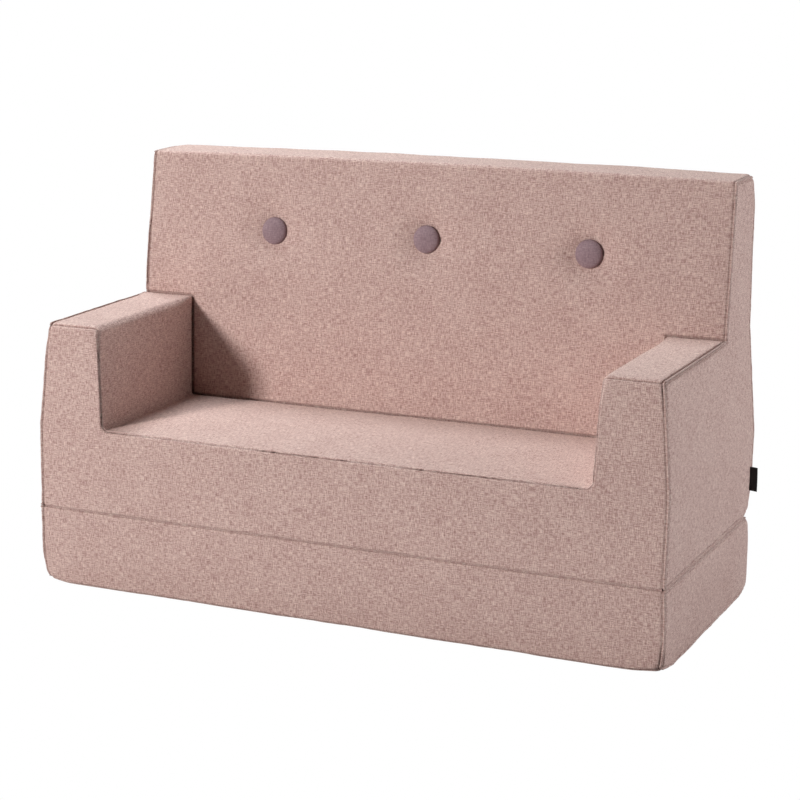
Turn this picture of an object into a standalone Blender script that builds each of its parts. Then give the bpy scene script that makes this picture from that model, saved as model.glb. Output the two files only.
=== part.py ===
"""A child's flip-open foam sofa: an upper block with seat, arms and back, and a slab folded under it.

Units are metres, +Z is up, the front faces -Y, and the origin is the centre of the slab's underside.
Each block is drawn straight first. Its bend function then leans, crowns and rounds every piece of it alike,
so that foam and cover keep their gaps.
"""

import math

import bmesh
import bpy
from mathutils import Matrix, Vector

# Main sizes
WIDTH = 0.950
DEPTH = 0.390
HEIGHT = 0.600
SLAB_HEIGHT = 0.114
FOLD_GAP = 0.001
SEAT_HEIGHT = 0.236
ARM_HEIGHT = 0.385
ARM_WIDTH = 0.105
BACK_THICKNESS = 0.127

# Cover and clearances
COVER = 0.002
GAP = 0.0003
FOAM_GAP = 0.0005
HINGE_REACH = 0.0025
WELT_RADIUS = 0.002
OVERRUN = 0.005

# How far the faces lean at their tops
ARM_OUTER_LEAN = 0.014
ARM_INNER_LEAN = 0.010
FRONT_RAKE = 0.016
BACK_LEAN = 0.057
REAR_LEAN = 0.020

# Softness: crowns of the faces, and the edges that the seams draw in
SEAT_CROWN = 0.006
FRONT_CROWN = 0.002
BACK_CROWN = 0.006
REAR_CROWN = 0.003
SIDE_CROWN = 0.002
CROWN_FADE = 0.060
EDGE_DRAW = 0.004
EDGE_REACH = 0.016
EDGE_SHARES = (0, 0.3, 0.6, 1)
REAR_CORNER = 0.022
FOLD_CORNER = 0.010
ARC_STEPS = 5

# Buttons, each with its twine and its anchor behind the foam
BUTTON_RADIUS = 0.020
BUTTON_HEIGHT = 0.009
BUTTON_Z = 0.491
BUTTON_SPACING = 0.251
BUTTON_SHIFT = 0.006
BUTTON_RIM_SHARE = 0.35
BUTTON_BASE_SHARE = 0.85
DIMPLE_DEPTH = 0.008
DIMPLE_FLOOR = 0.029
DIMPLE_REACH = 0.065
TWINE_RADIUS = 0.001
TWINE_HOLE_RADIUS = 0.0014
ANCHOR_RADIUS = 0.011
ANCHOR_HEIGHT = 0.0015
BUTTON_SIDES = 24

# Zips of the two covers, and the blank side tag
ZIP_WIDTH = 0.015
ZIP_STOP = 0.050
CHAIN_WIDTH = 0.005
CHAIN_HEIGHT = 0.0012
SLIDER_LENGTH = 0.012
SLIDER_WIDTH = 0.009
SLIDER_HEIGHT = 0.004
SLIDER_CLEARANCE = 0.0004
SEAT_ZIP_Z = 0.150
SLAB_ZIP_Z = 0.049
TAG_REACH = 0.012
TAG_HEIGHT = 0.035
TAG_THICKNESS = 0.0012
TAG_BOTTOM = 0.150
TAG_INSET = 0.007

# Faces before they lean
HALF = WIDTH / 2
INNER_X = HALF - ARM_WIDTH
FRONT_Y = -DEPTH / 2
REAR_Y = DEPTH / 2
BACK_Y = REAR_Y - BACK_THICKNESS
SEAT_BOTTOM = SLAB_HEIGHT + FOLD_GAP
LINING = COVER + FOAM_GAP
HINGE = Vector((0, FRONT_Y - HINGE_REACH, SLAB_HEIGHT + FOLD_GAP / 2))

MATERIALS = {
    "pink_weave": ((0.600, 0.400, 0.352), 0.95),
    "button_weave": ((0.270, 0.185, 0.175), 0.90),
    "foam": ((0.830, 0.800, 0.700), 1.00),
    "black_tape": ((0.015, 0.015, 0.016), 0.70),
    "zip_tape": ((0.400, 0.290, 0.265), 0.60),
    "twine": ((0.700, 0.680, 0.640), 0.80),
    "plastic": ((0.620, 0.610, 0.590), 0.45),
}


def share(value, low, high):
    """How far value has come from low to high, held between 0 and 1."""
    return min(max((value - low) / (high - low), 0), 1)


def near(value, face, reach):
    return 1 - share(abs(value - face), 0, reach)


def hump(value, low, high):
    """A crown that is 1 halfway between low and high and 0 at both."""
    offset = (2 * value - low - high) / (high - low)
    return max(1 - offset * offset, 0)


def drawn(*distances):
    """How far the seams draw a face in at these distances from its edges."""
    free = 1
    for distance in distances:
        rest = 1 - share(distance, 0, EDGE_REACH)
        free *= 1 - rest * rest
    return EDGE_DRAW * (1 - free)


def between(value, knots, moved):
    """Carry value along with the pair of faces that it lies between."""
    last = len(knots) - 2
    place = next((i for i in range(last) if value < knots[i + 1]), last)
    part = (value - knots[place]) / (knots[place + 1] - knots[place])
    return moved[place] + part * (moved[place + 1] - moved[place])


def dimple(x, z):
    depth = 0
    for center in button_centers():
        distance = math.hypot(x - center, z - BUTTON_Z)
        fall = 1 - share(distance, DIMPLE_FLOOR, DIMPLE_REACH)
        depth = max(depth, DIMPLE_DEPTH * fall * fall * (3 - 2 * fall))
    return depth


def button_centers():
    return [BUTTON_SHIFT + place * BUTTON_SPACING for place in (-1, 0, 1)]


def bend_seat_block(point):
    """Lean and soften a point of the upper block."""
    x, y, z = point
    side = math.copysign(1, x)
    out = abs(x)
    arm_share = share(z, SEAT_HEIGHT, ARM_HEIGHT)
    in_front = share(BACK_Y - y, 0, EDGE_REACH)
    behind = share(y, BACK_Y - EDGE_REACH, BACK_Y)

    # Draw in the edges of the two sides
    arm_rim = max(ARM_HEIGHT - z, EDGE_REACH * (1 - in_front))
    side_draw = drawn(y - FRONT_Y, REAR_Y - y, z - SEAT_BOTTOM, HEIGHT - z, arm_rim)
    side_near = near(out, HALF, CROWN_FADE)
    side_crown = SIDE_CROWN * hump(y, FRONT_Y, REAR_Y) * hump(z, SEAT_BOTTOM, ARM_HEIGHT)
    end_draw = drawn(HALF - out)

    # Crown the seat, the front, the back and the rear
    lift = SEAT_CROWN * hump(x, -INNER_X, INNER_X) * hump(y, FRONT_Y, BACK_Y)
    lift *= share(z, SEAT_BOTTOM, SEAT_HEIGHT) if y < BACK_Y else 0
    lift -= end_draw * near(z, HEIGHT, CROWN_FADE) * behind
    lift -= end_draw * near(z, ARM_HEIGHT, CROWN_FADE) * in_front
    front = end_draw - FRONT_CROWN * hump(x, -HALF, HALF) * hump(z, SEAT_BOTTOM, ARM_HEIGHT)
    back = dimple(x, z) - BACK_CROWN * hump(x, -HALF, HALF) * hump(z, SEAT_HEIGHT, HEIGHT)
    rear_bottom = SEAT_ZIP_Z + ZIP_WIDTH + GAP
    rear = REAR_CROWN * hump(x, -HALF, HALF) * hump(z, rear_bottom, HEIGHT) - end_draw

    # Lean the faces
    outer_x = HALF - ARM_OUTER_LEAN * arm_share
    inner_x = INNER_X + ARM_INNER_LEAN * arm_share
    front_y = FRONT_Y + FRONT_RAKE * share(z, SEAT_BOTTOM, ARM_HEIGHT)
    back_y = BACK_Y + BACK_LEAN * share(z, SEAT_HEIGHT, HEIGHT)
    rear_y = REAR_Y + REAR_LEAN * share(z, SEAT_BOTTOM, HEIGHT)
    moved_x = between(out, (0, INNER_X, HALF), (0, inner_x, outer_x))
    moved_y = between(y, (FRONT_Y, BACK_Y, REAR_Y), (front_y, back_y, rear_y))

    moved_x += (side_crown - side_draw) * side_near
    moved_y += front * near(y, FRONT_Y, CROWN_FADE)
    moved_y += back * (near(y, BACK_Y, CROWN_FADE) if y < BACK_Y else 1 - share(y, BACK_Y, REAR_Y))
    moved_y += rear * near(y, REAR_Y, CROWN_FADE)
    return Vector((side * moved_x, moved_y, z + lift))


def bend_slab(point):
    """Soften a point of the slab, which stays flat above and below."""
    x, y, z = point
    side = math.copysign(1, x)
    out = abs(x)
    side_draw = drawn(y - FRONT_Y, REAR_Y - y, z, SLAB_HEIGHT - z)
    side_crown = SIDE_CROWN * hump(y, FRONT_Y, REAR_Y) * hump(z, 0, SLAB_HEIGHT)
    end_draw = drawn(HALF - out)
    front = end_draw - FRONT_CROWN * hump(x, -HALF, HALF) * hump(z, 0, SLAB_HEIGHT)
    moved_x = out + (side_crown - side_draw) * near(out, HALF, CROWN_FADE)
    moved_y = y + front * near(y, FRONT_Y, CROWN_FADE) - end_draw * near(y, REAR_Y, CROWN_FADE)
    return Vector((side * moved_x, moved_y, z))


def steps(low, high, count):
    return [low + (high - low) * i / count for i in range(count + 1)]


def edge_steps(face, inward):
    """Cuts close to an edge, where the seam draws the cover in."""
    return [face + inward * EDGE_REACH * edge_share for edge_share in EDGE_SHARES]


def button_steps(center):
    near_floor = DIMPLE_FLOOR / math.sqrt(2)
    halfway = (DIMPLE_FLOOR + DIMPLE_REACH) / 2
    reaches = (near_floor, halfway, DIMPLE_REACH)
    return [center + way * reach for reach in reaches for way in (-1, 1)]


CUTS_X = sorted(
    edge_steps(-HALF, 1) + edge_steps(HALF, -1) + steps(-INNER_X, INNER_X, 8)
)
BACK_CUTS_X = sorted(
    edge_steps(-HALF, 1)
    + edge_steps(HALF, -1)
    + [-INNER_X, INNER_X]
    + [cut for center in button_centers() for cut in button_steps(center)]
)
CUTS_Y = sorted(
    edge_steps(FRONT_Y, 1)
    + edge_steps(REAR_Y, -1)
    + steps(FRONT_Y + CROWN_FADE, BACK_Y - CROWN_FADE, 2)
    + edge_steps(BACK_Y, -1)
    + [REAR_Y - CROWN_FADE]
)
CUTS_Z = sorted(
    edge_steps(SEAT_BOTTOM, 1)
    + edge_steps(ARM_HEIGHT, -1)
    + edge_steps(HEIGHT, -1)
    + [SEAT_HEIGHT, (SEAT_HEIGHT + ARM_HEIGHT) / 2]
    + steps(SEAT_BOTTOM + CROWN_FADE, SEAT_HEIGHT, 2)
    + button_steps(BUTTON_Z)
    + [BUTTON_Z]
)
SLAB_CUTS_Z = edge_steps(0, 1) + [SLAB_HEIGHT / 2] + edge_steps(SLAB_HEIGHT, -1)


def material(name):
    found = bpy.data.materials.get(name)
    if found:
        return found
    color, roughness = MATERIALS[name]
    made = bpy.data.materials.new(name)
    made.use_nodes = True
    shader = made.node_tree.nodes["Principled BSDF"]
    shader.inputs["Base Color"].default_value = (*color, 1)
    shader.inputs["Roughness"].default_value = roughness
    shader.inputs["Metallic"].default_value = 0
    made.diffuse_color = (*color, 1)
    return made


def add_object(name, mesh, slot, origin=None):
    """Turn a bmesh in world coordinates into a named object with its origin at a given point."""
    origin = origin or Vector((0, 0, 0))
    bmesh.ops.recalc_face_normals(mesh, faces=mesh.faces)
    bmesh.ops.translate(mesh, verts=mesh.verts, vec=-origin)
    data = bpy.data.meshes.new(name)
    mesh.to_mesh(data)
    mesh.free()
    data.shade_smooth()
    data.set_sharp_from_angle(angle=math.radians(40))
    data.materials.append(material(slot))
    made = bpy.data.objects.new(name, data)
    made.location = origin
    bpy.context.scene.collection.objects.link(made)
    return made


def bent(mesh, bend):
    """Bend a mesh, and split its faces the same way as its neighbours' so that the gaps stay."""
    for vertex in mesh.verts:
        vertex.co = bend(vertex.co)
    bmesh.ops.triangulate(mesh, faces=mesh.faces, quad_method="SHORT_EDGE", ngon_method="BEAUTY")
    return mesh


def rounded(corners):
    """Points along an outline through (u, v, radius) corners, with its outside on the left."""
    points = []
    count = len(corners)
    for i, (u, v, radius) in enumerate(corners):
        here = Vector((u, v))
        toward = (here - Vector(corners[i - 1][:2])).normalized()
        away = (Vector(corners[(i + 1) % count][:2]) - here).normalized()
        first = Vector((-toward.y, toward.x))
        second = Vector((-away.y, away.x))
        turn = toward.x * away.y - toward.y * away.x
        bend_way = -1 if turn < 0 else 1
        center = here + bend_way * radius * (first + second) / (1 + first.dot(second))
        for step in range(ARC_STEPS + 1):
            normal = first.slerp(second, step / ARC_STEPS)
            points.append(center - bend_way * radius * normal)
    return points


def outline(corners):
    """The points of a closed rounded outline, without those that fall together."""
    points = []
    for point in rounded(corners):
        if not points or (point - points[-1]).length > GAP:
            points.append(point)
    if (points[0] - points[-1]).length < GAP:
        points.pop()
    return points


def prism(points, start, end, place, cuts=()):
    """Extrude an outline from start to end, put each (u, v, along) in place, and cut it by planes."""
    mesh = bmesh.new()
    rings = [[mesh.verts.new(place(u, v, along)) for u, v in points] for along in (start, end)]
    mesh.faces.new(rings[0])
    mesh.faces.new(reversed(rings[1]))
    for i in range(len(points)):
        j = (i + 1) % len(points)
        mesh.faces.new((rings[0][i], rings[0][j], rings[1][j], rings[1][i]))
    for axis, values in enumerate(cuts):
        normal = Vector([1 if axis == i else 0 for i in range(3)])
        for value in values:
            geometry = list(mesh.verts) + list(mesh.edges) + list(mesh.faces)
            bmesh.ops.bisect_plane(
                mesh, geom=geometry, dist=GAP / 10, plane_co=normal * value, plane_no=normal
            )
    return mesh


def across(u, v, along):
    """Outlines in the YZ plane, extruded along X."""
    return (along, u, v)


def lengthways(u, v, along):
    """Outlines in the XZ plane, extruded along Y."""
    return (u, along, v)


def strip(path, columns, place, keep=None):
    """A cover panel: a grid of rows along a path and columns across it, one cover thick."""
    mesh = bmesh.new()
    grid = [
        [
            [mesh.verts.new(place(*(point - depth * normal), column)) for column in columns]
            for point, normal in path
        ]
        for depth in (0, COVER)
    ]
    kept = {
        (i, j)
        for i in range(len(path) - 1)
        for j in range(len(columns) - 1)
        if keep is None or keep((path[i][0] + path[i + 1][0]) / 2, (columns[j] + columns[j + 1]) / 2)
    }
    for i, j in kept:
        square = [(i, j), (i, j + 1), (i + 1, j + 1), (i + 1, j)]
        mesh.faces.new([grid[0][row][column] for row, column in square])
        mesh.faces.new([grid[1][row][column] for row, column in reversed(square)])
        sides = [(i - 1, j), (i, j + 1), (i + 1, j), (i, j - 1)]
        for k, side in enumerate(sides):
            if side not in kept:
                a, b = square[k], square[(k + 1) % 4]
                wall = (grid[0][b[0]][b[1]], grid[0][a[0]][a[1]], grid[1][a[0]][a[1]], grid[1][b[0]][b[1]])
                mesh.faces.new(wall)
    loose = [vertex for vertex in mesh.verts if not vertex.link_faces]
    bmesh.ops.delete(mesh, geom=loose, context="VERTS")
    return mesh


def run(start, end, normal, cuts):
    """A straight stretch of a path, with a row at each cut that lies on it."""
    along = end - start
    shares = {0, 1}
    for cut in cuts:
        part = (cut - start).dot(along) / along.length_squared
        if 0 < part < 1:
            shares.add(part)
    return [(start + along * part, normal) for part in sorted(shares)]


def corner(center, radius, first_angle, last_angle, concave=False):
    """A rounded stretch of a path. Its normals point to the open side."""
    pairs = []
    for step in range(ARC_STEPS + 1):
        angle = math.radians(first_angle + (last_angle - first_angle) * step / ARC_STEPS)
        outward = Vector((math.cos(angle), math.sin(angle)))
        pairs.append((center + radius * outward, -outward if concave else outward))
    return pairs


def path_of(*stretches):
    """Join stretches into one path, without the points they share."""
    path = []
    for stretch in stretches:
        for pair in stretch:
            if not path or (pair[0] - path[-1][0]).length > GAP:
                path.append(pair)
    return path


def inside(cuts, low, high):
    """A grid line at each end, and the cuts between them that are clear of both."""
    return [low] + [cut for cut in cuts if low + COVER < cut < high - COVER] + [high]


def heights(cuts):
    return [Vector((0, cut)) for cut in cuts]


def lengths(cuts):
    return [Vector((cut, 0)) for cut in cuts]


def seat_side_corners():
    """The upper block seen from its side, as corners (y, z, radius)."""
    return [
        (FRONT_Y, SEAT_BOTTOM, COVER),
        (FRONT_Y, ARM_HEIGHT, COVER),
        (BACK_Y, ARM_HEIGHT, COVER),
        (BACK_Y, HEIGHT, FOLD_CORNER),
        (REAR_Y, HEIGHT, REAR_CORNER),
        (REAR_Y, SEAT_BOTTOM, REAR_CORNER),
    ]


def slab_side_corners():
    return [
        (FRONT_Y, 0, COVER),
        (FRONT_Y, SLAB_HEIGHT, COVER),
        (REAR_Y, SLAB_HEIGHT, REAR_CORNER),
        (REAR_Y, 0, REAR_CORNER),
    ]


def build_side_panels():
    seat_cuts = ((), CUTS_Y, CUTS_Z)
    slab_cuts = ((), CUTS_Y, SLAB_CUTS_Z)
    for side, way in (("left", -1), ("right", 1)):
        outer = way * HALF
        inner = way * (HALF - COVER)
        panel = prism(outline(seat_side_corners()), inner, outer, across, seat_cuts)
        add_object(f"{side}_side_panel", bent(panel, bend_seat_block), "pink_weave")
        panel = prism(outline(slab_side_corners()), inner, outer, across, slab_cuts)
        add_object(f"slab_{side}_panel", bent(panel, bend_slab), "pink_weave", HINGE)


def build_front_panels():
    """The U-shaped front of arms and seat, and the front of the slab."""
    end = HALF - LINING
    rows = inside(CUTS_Z, SEAT_BOTTOM, ARM_HEIGHT)
    path = [(Vector((FRONT_Y, z)), Vector((-1, 0))) for z in rows]
    columns = inside(CUTS_X, -end, end)
    panel = strip(
        path, columns, across, lambda point, x: point.y < SEAT_HEIGHT or abs(x) > INNER_X
    )
    add_object("front_panel", bent(panel, bend_seat_block), "pink_weave")
    rows = inside(SLAB_CUTS_Z, 0, SLAB_HEIGHT)
    path = [(Vector((FRONT_Y, z)), Vector((-1, 0))) for z in rows]
    panel = strip(path, columns, across)
    add_object("slab_front_panel", bent(panel, bend_slab), "pink_weave", HINGE)


def build_seat_panel():
    """One strip from the top of one arm, down across the seat and up over the other arm."""
    end = HALF - LINING - GAP
    down = heights(CUTS_Z)
    across_x = lengths(CUTS_X)
    fold = FOLD_CORNER
    top = ARM_HEIGHT
    bottom = SEAT_HEIGHT
    left = path_of(
        run(Vector((-end, top)), Vector((-INNER_X - fold, top)), Vector((0, 1)), across_x),
        corner(Vector((-INNER_X - fold, top - fold)), fold, 90, 0),
        run(Vector((-INNER_X, top - fold)), Vector((-INNER_X, bottom + fold)), Vector((1, 0)), down),
        corner(Vector((-INNER_X + fold, bottom + fold)), fold, 180, 270, True),
    )
    middle = run(
        Vector((-INNER_X + fold, bottom)),
        Vector((INNER_X - fold, bottom)),
        Vector((0, 1)),
        across_x,
    )
    right = [(Vector((-p.x, p.y)), Vector((-n.x, n.y))) for p, n in reversed(left)]
    columns = inside(CUTS_Y, FRONT_Y + LINING, BACK_Y - GAP)
    panel = strip(path_of(left, middle, right), columns, lengthways)
    add_object("seat_and_arm_panel", bent(panel, bend_seat_block), "pink_weave")


def build_back_panels():
    """The back's front with the fold over its top, the rear panel, the zip and the underside."""
    end = HALF - LINING
    cuts = heights(CUTS_Z)
    fold = FOLD_CORNER
    turn = REAR_CORNER
    seam_z = HEIGHT - turn - COVER
    arm_top = ARM_HEIGHT - COVER
    middle_y = Vector(((BACK_Y + REAR_Y) / 2, 0))
    back = path_of(
        run(
            Vector((BACK_Y, SEAT_HEIGHT - COVER)),
            Vector((BACK_Y, HEIGHT - fold)),
            Vector((-1, 0)),
            cuts + heights([arm_top]),
        ),
        corner(Vector((BACK_Y + fold, HEIGHT - fold)), fold, 180, 90),
        run(Vector((BACK_Y + fold, HEIGHT)), Vector((REAR_Y - turn, HEIGHT)), Vector((0, 1)), [middle_y]),
        corner(Vector((REAR_Y - turn, HEIGHT - turn)), turn, 90, 0),
        run(Vector((REAR_Y, HEIGHT - turn)), Vector((REAR_Y, seam_z)), Vector((1, 0)), []),
    )
    columns = inside(sorted(BACK_CUTS_X + [-INNER_X - COVER, INNER_X + COVER]), -end, end)
    columns = sorted(set(columns) | {-INNER_X - COVER, INNER_X + COVER})
    panel = strip(
        back, columns, across, lambda point, x: point.y > arm_top or abs(x) < INNER_X + COVER
    )
    back_panel = add_object("back_panel", bent(panel, bend_seat_block), "pink_weave")

    columns = inside(CUTS_X, -end, end)
    zip_top = SEAT_ZIP_Z + ZIP_WIDTH
    rear = run(Vector((REAR_Y, seam_z - GAP)), Vector((REAR_Y, zip_top + GAP)), Vector((1, 0)), cuts)
    panel = strip(rear, columns, across)
    add_object("rear_panel", bent(panel, bend_seat_block), "pink_weave")

    under = path_of(
        run(Vector((REAR_Y, SEAT_ZIP_Z - GAP)), Vector((REAR_Y, SEAT_BOTTOM + turn)), Vector((1, 0)), []),
        corner(Vector((REAR_Y - turn, SEAT_BOTTOM + turn)), turn, 0, -90),
        run(
            Vector((REAR_Y - turn, SEAT_BOTTOM)),
            Vector((FRONT_Y + LINING, SEAT_BOTTOM)),
            Vector((0, -1)),
            lengths([0]),
        ),
    )
    panel = strip(under, columns, across)
    add_object("underside_panel", bent(panel, bend_seat_block), "pink_weave")
    return back_panel


def build_slab_panels():
    """The slab's top and bottom, each wrapped round a rear corner as far as the zip."""
    end = HALF - LINING
    columns = inside(CUTS_X, -end, end)
    turn = REAR_CORNER
    front = FRONT_Y + LINING
    zip_top = SLAB_ZIP_Z + ZIP_WIDTH
    top = path_of(
        run(Vector((front, SLAB_HEIGHT)), Vector((REAR_Y - turn, SLAB_HEIGHT)), Vector((0, 1)), []),
        corner(Vector((REAR_Y - turn, SLAB_HEIGHT - turn)), turn, 90, 0),
        run(Vector((REAR_Y, SLAB_HEIGHT - turn)), Vector((REAR_Y, zip_top + GAP)), Vector((1, 0)), []),
    )
    add_object("slab_top_panel", bent(strip(top, columns, across), bend_slab), "pink_weave", HINGE)
    bottom = path_of(
        run(Vector((REAR_Y, SLAB_ZIP_Z - GAP)), Vector((REAR_Y, turn)), Vector((1, 0)), []),
        corner(Vector((REAR_Y - turn, turn)), turn, 0, -90),
        run(Vector((REAR_Y - turn, 0)), Vector((front, 0)), Vector((0, -1)), lengths([0])),
    )
    add_object(
        "slab_bottom_panel", bent(strip(bottom, columns, across), bend_slab), "pink_weave", HINGE
    )


def build_foam():
    """Five foam blocks: seat, back, two arms and slab."""
    end = HALF - LINING
    cuts = (CUTS_X, CUTS_Y, CUTS_Z)
    front = FRONT_Y + LINING
    back = BACK_Y + COVER
    rear = REAR_Y - LINING
    seat_top = SEAT_HEIGHT - LINING
    corner_radius = REAR_CORNER - LINING

    seat = [(front, SEAT_BOTTOM + LINING), (front, seat_top), (back, seat_top), (back, SEAT_BOTTOM + LINING)]
    mesh = prism(seat, -end, end, across, cuts)
    add_object("seat_foam", bent(mesh, bend_seat_block), "foam")

    arm_inner = INNER_X + LINING
    arm_top = ARM_HEIGHT - LINING
    fold = FOLD_CORNER - LINING
    for side, way in (("left", -1), ("right", 1)):
        arm = outline(
            [
                (arm_inner, seat_top + GAP, COVER),
                (arm_inner, arm_top, fold),
                (end, arm_top, COVER),
                (end, seat_top + GAP, COVER),
            ]
        )
        arm = [(way * u, v) for u, v in arm]
        mesh = prism(arm, front, back, lengthways, cuts)
        add_object(f"{side}_arm_foam", bent(mesh, bend_seat_block), "foam")

    block = outline(
        [
            (back + GAP, SEAT_BOTTOM + LINING, COVER),
            (back + GAP, HEIGHT - LINING, FOLD_CORNER - LINING),
            (rear, HEIGHT - LINING, corner_radius),
            (rear, SEAT_BOTTOM + LINING, corner_radius),
        ]
    )
    mesh = prism(block, -end, end, across, (BACK_CUTS_X, [REAR_Y - CROWN_FADE], CUTS_Z))
    back_foam = add_object("back_foam", bent(mesh, bend_seat_block), "foam")

    slab = outline(
        [
            (front, LINING, COVER),
            (front, SLAB_HEIGHT - LINING, COVER),
            (rear, SLAB_HEIGHT - LINING, corner_radius),
            (rear, LINING, corner_radius),
        ]
    )
    mesh = prism(slab, -end, end, across, (CUTS_X, CUTS_Y, SLAB_CUTS_Z))
    add_object("slab_foam", bent(mesh, bend_slab), "foam", HINGE)
    return back_foam


def turned(profile, start, direction):
    """Turn a closed (radius, height) profile about the line from start along direction."""
    mesh = bmesh.new()
    pose = Matrix.Translation(start) @ direction.to_track_quat("Z", "Y").to_matrix().to_4x4()
    rings = []
    for radius, height in profile:
        if radius:
            angles = [2 * math.pi * k / BUTTON_SIDES for k in range(BUTTON_SIDES)]
            ring = [Vector((radius * math.cos(a), radius * math.sin(a), height)) for a in angles]
        else:
            ring = [Vector((0, 0, height))]
        rings.append([mesh.verts.new(pose @ point) for point in ring])
    for low, high in zip(rings, rings[1:]):
        for k in range(BUTTON_SIDES):
            after = (k + 1) % BUTTON_SIDES
            corners = [low[k % len(low)], low[after % len(low)], high[after % len(high)], high[k % len(high)]]
            mesh.faces.new(dict.fromkeys(corners))
    return mesh


def cylinder(radius, start, end):
    along = end - start
    profile = [(0, 0), (radius, 0), (radius, along.length), (0, along.length)]
    return turned(profile, start, along.normalized())


def cut(target, cutter):
    modifier = target.modifiers.new(cutter.name, "BOOLEAN")
    modifier.operation = "DIFFERENCE"
    modifier.solver = "EXACT"
    modifier.object = cutter
    cutter.hide_render = True
    cutter.display_type = "WIRE"


def face_at(x, y):
    """Where a face of the back is at a button, and its forward normal."""
    point = bend_seat_block((x, y, BUTTON_Z))
    above = bend_seat_block((x, y, BUTTON_Z + TWINE_RADIUS))
    aside = bend_seat_block((x + TWINE_RADIUS, y, BUTTON_Z))
    return point, (aside - point).cross(above - point).normalized()


def build_buttons(back_panel, back_foam):
    """A covered button sunk in the back, its twine through the foam, and the anchor behind it."""
    rim = BUTTON_HEIGHT * BUTTON_RIM_SHARE
    angles = [math.pi / 2 * step / ARC_STEPS for step in range(ARC_STEPS)]
    dome = [
        (BUTTON_RADIUS * math.cos(angle), rim + (BUTTON_HEIGHT - rim) * math.sin(angle))
        for angle in angles
    ]
    profile = [(0, 0), (BUTTON_RADIUS * BUTTON_BASE_SHARE, 0)] + dome + [(0, BUTTON_HEIGHT)]
    for side, x in zip(("left", "middle", "right"), button_centers()):
        seat, outward = face_at(x, BACK_Y)
        button = turned(profile, seat + outward * 2 * GAP, outward)
        add_object(f"{side}_button", button, "button_weave")

        # The anchor lies square to its twine, so its lower rim comes closest to the rear panel
        rear, forward = face_at(x, REAR_Y - LINING)
        depth = (seat - rear).dot(forward) / outward.dot(forward)
        slant = ANCHOR_RADIUS * outward.cross(forward).length
        anchor = seat - outward * (depth - ANCHOR_HEIGHT - slant)
        add_object(
            f"{side}_twine", cylinder(TWINE_RADIUS, anchor + outward * GAP, seat + outward * GAP), "twine"
        )
        disc = cylinder(ANCHOR_RADIUS, anchor - outward * ANCHOR_HEIGHT, anchor)
        add_object(f"{side}_anchor", disc, "plastic")
        pocket = ANCHOR_RADIUS + GAP
        length = (seat - anchor).length
        spool = turned(
            [
                (0, -OVERRUN - ANCHOR_HEIGHT),
                (pocket, -OVERRUN - ANCHOR_HEIGHT),
                (pocket, GAP),
                (TWINE_HOLE_RADIUS, GAP),
                (TWINE_HOLE_RADIUS, length + OVERRUN),
                (0, length + OVERRUN),
            ],
            anchor,
            outward,
        )
        cutter = add_object(f"{side}_button_cutter", spool, "foam")
        cut(back_foam, cutter)
        cut(back_panel, cutter)


def zip_outline():
    """The zip's cross-section, as (out, up) points: a flat tape with the raised chain along its middle."""
    tape = ZIP_WIDTH / 2
    chain = CHAIN_WIDTH / 2
    return [
        (-COVER, -tape), (0, -tape), (0, -chain), (CHAIN_HEIGHT, -chain),
        (CHAIN_HEIGHT, chain), (0, chain), (0, tape), (-COVER, tape),
    ]


def slider_outline():
    """The slider's cross-section: a bridge over the chain, with two feet on the tape."""
    half = SLIDER_WIDTH / 2
    chain = CHAIN_WIDTH / 2 + SLIDER_CLEARANCE
    foot = SLIDER_CLEARANCE
    roof = CHAIN_HEIGHT + SLIDER_CLEARANCE
    return [
        (foot, -half), (SLIDER_HEIGHT, -half), (SLIDER_HEIGHT, half), (foot, half),
        (foot, chain), (roof, chain), (roof, -chain), (foot, -chain),
    ]


def build_zip(name, bottom, bend, origin):
    """A straight zip across the rear, and its slider at the closed end."""
    low = bend((0, REAR_Y, bottom))
    high = bend((0, REAR_Y, bottom + ZIP_WIDTH))
    middle = (low + high) / 2
    up = (high - low).normalized()
    out = Vector((0, up.z, -up.y))

    def place(u, v, along):
        return middle + out * u + up * v + Vector((along, 0, 0))

    half = HALF - LINING - EDGE_REACH
    tape = prism(zip_outline(), -half, half, place)
    add_object(name, tape, "zip_tape", origin)
    closed_end = -half + ZIP_STOP
    slider = prism(slider_outline(), closed_end, closed_end + SLIDER_LENGTH, place)
    pivot = place(SLIDER_HEIGHT / 2, 0, closed_end + SLIDER_LENGTH / 2)
    add_object(f"{name}_slider", slider, "plastic", pivot)


def build_tag():
    """The blank fabric tag sewn into the rear seam of the right side."""
    front = REAR_Y - TAG_INSET - TAG_THICKNESS
    foot = bend_seat_block((HALF, front, TAG_BOTTOM + TAG_HEIGHT / 2)).x + GAP
    tag = [(foot, TAG_BOTTOM), (foot + TAG_REACH, TAG_BOTTOM)]
    tag += [(foot + TAG_REACH, TAG_BOTTOM + TAG_HEIGHT), (foot, TAG_BOTTOM + TAG_HEIGHT)]
    mesh = prism(tag, front, front + TAG_THICKNESS, lengthways)
    add_object("side_tag", mesh, "black_tape")


def build_hinge():
    """The sewn welt that joins the two covers along the front, round about the folding line."""
    end = Vector((HALF - EDGE_REACH, 0, 0))
    add_object("hinge_welt", cylinder(WELT_RADIUS, HINGE - end, HINGE + end), "pink_weave")


def main():
    for old in list(bpy.data.objects):
        bpy.data.objects.remove(old)
    build_side_panels()
    build_front_panels()
    build_seat_panel()
    back_panel = build_back_panels()
    build_slab_panels()
    back_foam = build_foam()
    build_buttons(back_panel, back_foam)
    build_zip("seat_zip", SEAT_ZIP_Z, bend_seat_block, Vector((0, 0, 0)))
    build_zip("slab_zip", SLAB_ZIP_Z, bend_slab, HINGE)
    build_tag()
    build_hinge()


main()
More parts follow.
